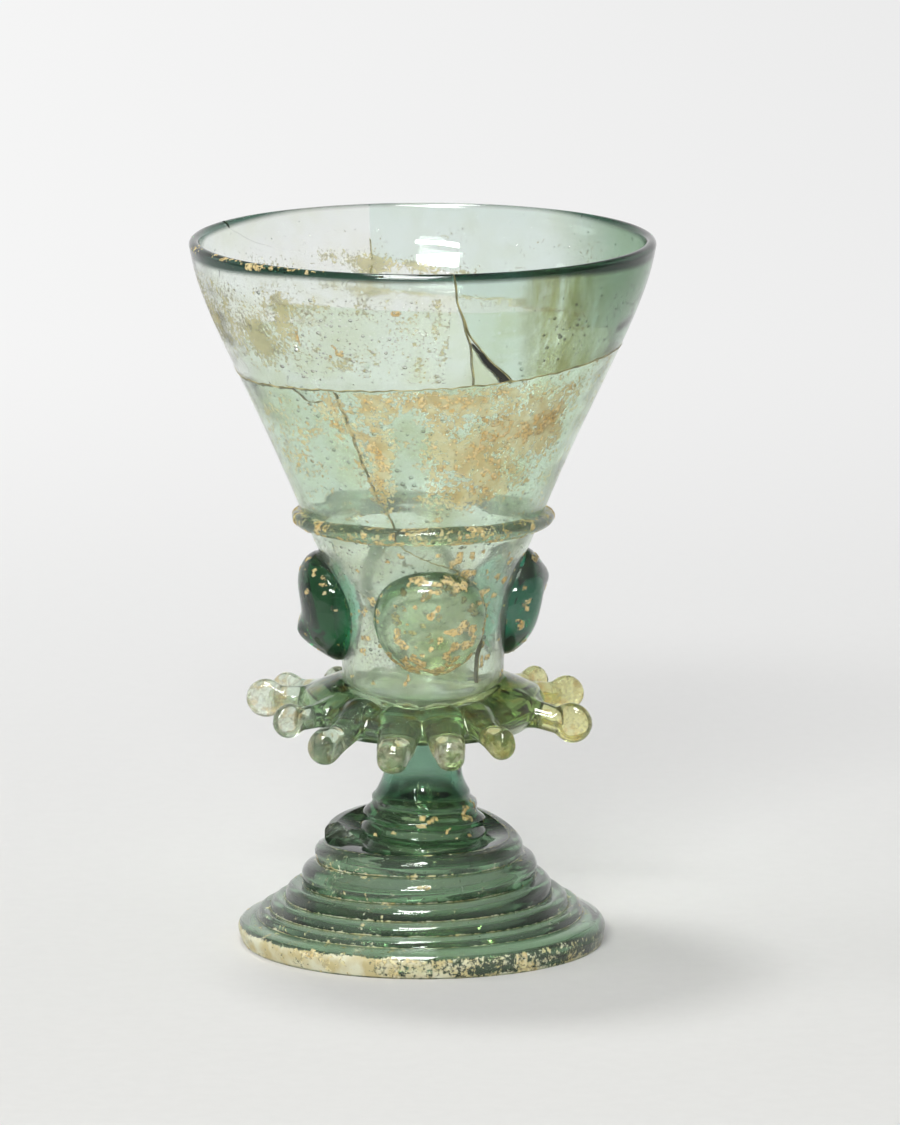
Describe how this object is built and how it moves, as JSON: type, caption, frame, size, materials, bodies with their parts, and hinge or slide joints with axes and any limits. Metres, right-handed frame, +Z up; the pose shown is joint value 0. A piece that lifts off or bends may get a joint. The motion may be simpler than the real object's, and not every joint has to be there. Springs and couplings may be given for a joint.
{
  "type": "stemmed glass",
  "caption": "Old green stemmed glass: funnel bowl on a prunted cup, a collar pinched into toes, a hollow stem and a foot wound from thread.",
  "frame": {"origin": "on the glass's axis, on the table under the foot", "axes": "+Z up along the axis, -Y out of the front, +X out of the right side as seen from the front"},
  "size_m": [0.062, 0.062, 0.0952],
  "materials": {
    "blown_glass": "blown wall, lightly pitted, ochre weathering",
    "trail_glass": "fire polished thread, pitted",
    "prunt_glass": "fire polished",
    "collar_glass": "fire polished, pinched with pincers",
    "stem_glass": "fire polished",
    "foot_glass": "wound thread, weathered rim",
    "resin_fill": "clear resin, satin"
  },
  "bodies": {
    "root": {"bowl_body": "blown_glass", "rim_shard_left": "blown_glass", "rim_shard_rear": "blown_glass", "rim_shard_right": "blown_glass", "wedge_fill": "resin_fill", "collar_trail": "trail_glass", "prunt_front": "prunt_glass", "prunt_right": "prunt_glass", "prunt_rear": "prunt_glass", "prunt_left": "prunt_glass", "pincered_collar": "collar_glass", "stem": "stem_glass", "foot": "foot_glass"}
  },
  "joints": []
}
